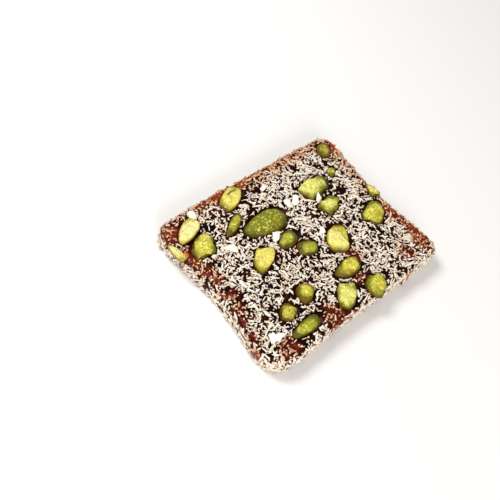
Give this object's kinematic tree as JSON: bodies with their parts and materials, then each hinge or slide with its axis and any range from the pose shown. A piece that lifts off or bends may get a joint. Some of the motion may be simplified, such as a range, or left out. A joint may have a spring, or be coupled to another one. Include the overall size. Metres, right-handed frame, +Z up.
{
  "type": "cezerye slab",
  "caption": "Flat rectangular slab of caramelised carrot jelly sweet set with pistachio kernels and coated in shredded coconut; lies on a plate, tray or board.",
  "frame": {"origin": "middle of the flat underside", "axes": "+X along the slab's length, +Y across it towards the far long side, +Z up through its thickness"},
  "size_m": [0.0849, 0.0658, 0.0103],
  "materials": {
    "coconut_on_jelly": "dark red-brown translucent jelly under off-white coconut shreds, matte with glossy bare patches",
    "pistachio_green": "whole kernel, mottled olive to leaf green skin, slightly glossy",
    "pistachio_yellow_green": "broken kernel, yellow-green, fine grained",
    "pistachio_cut": "cut or split kernel, pale cream yellow, matte"
  },
  "bodies": {
    "root": {"pistachio_base_01": "pistachio_green", "pistachio_base_02": "pistachio_green", "pistachio_base_03": "pistachio_green", "pistachio_base_04": "pistachio_green", "pistachio_base_05": "pistachio_green", "pistachio_base_06": "pistachio_green", "pistachio_base_07": "pistachio_green", "pistachio_base_08": "pistachio_green", "pistachio_base_09": "pistachio_green", "pistachio_base_10": "pistachio_green", "pistachio_base_11": "pistachio_green", "pistachio_base_12": "pistachio_green", "pistachio_side_01": "pistachio_cut", "pistachio_side_02": "pistachio_cut", "pistachio_side_03": "pistachio_cut", "pistachio_side_04": "pistachio_cut", "pistachio_top_01": "pistachio_cut", "pistachio_top_02": "pistachio_green", "pistachio_top_03": "pistachio_green", "pistachio_top_04": "pistachio_yellow_green", "pistachio_top_05": "pistachio_cut", "pistachio_top_06": "pistachio_cut", "pistachio_top_07": "pistachio_cut", "pistachio_top_08": "pistachio_green", "pistachio_top_09": "pistachio_yellow_green", "pistachio_top_10": "pistachio_cut", "pistachio_top_11": "pistachio_yellow_green", "pistachio_top_12": "pistachio_yellow_green", "pistachio_top_13": "pistachio_yellow_green", "pistachio_top_14": "pistachio_yellow_green", "pistachio_top_15": "pistachio_green", "pistachio_top_16": "pistachio_yellow_green", "pistachio_top_17": "pistachio_yellow_green", "pistachio_top_18": "pistachio_green", "pistachio_top_19": "pistachio_yellow_green", "pistachio_top_20": "pistachio_green", "pistachio_top_21": "pistachio_green", "pistachio_top_22": "pistachio_green", "slab": "coconut_on_jelly"}
  },
  "joints": []
}
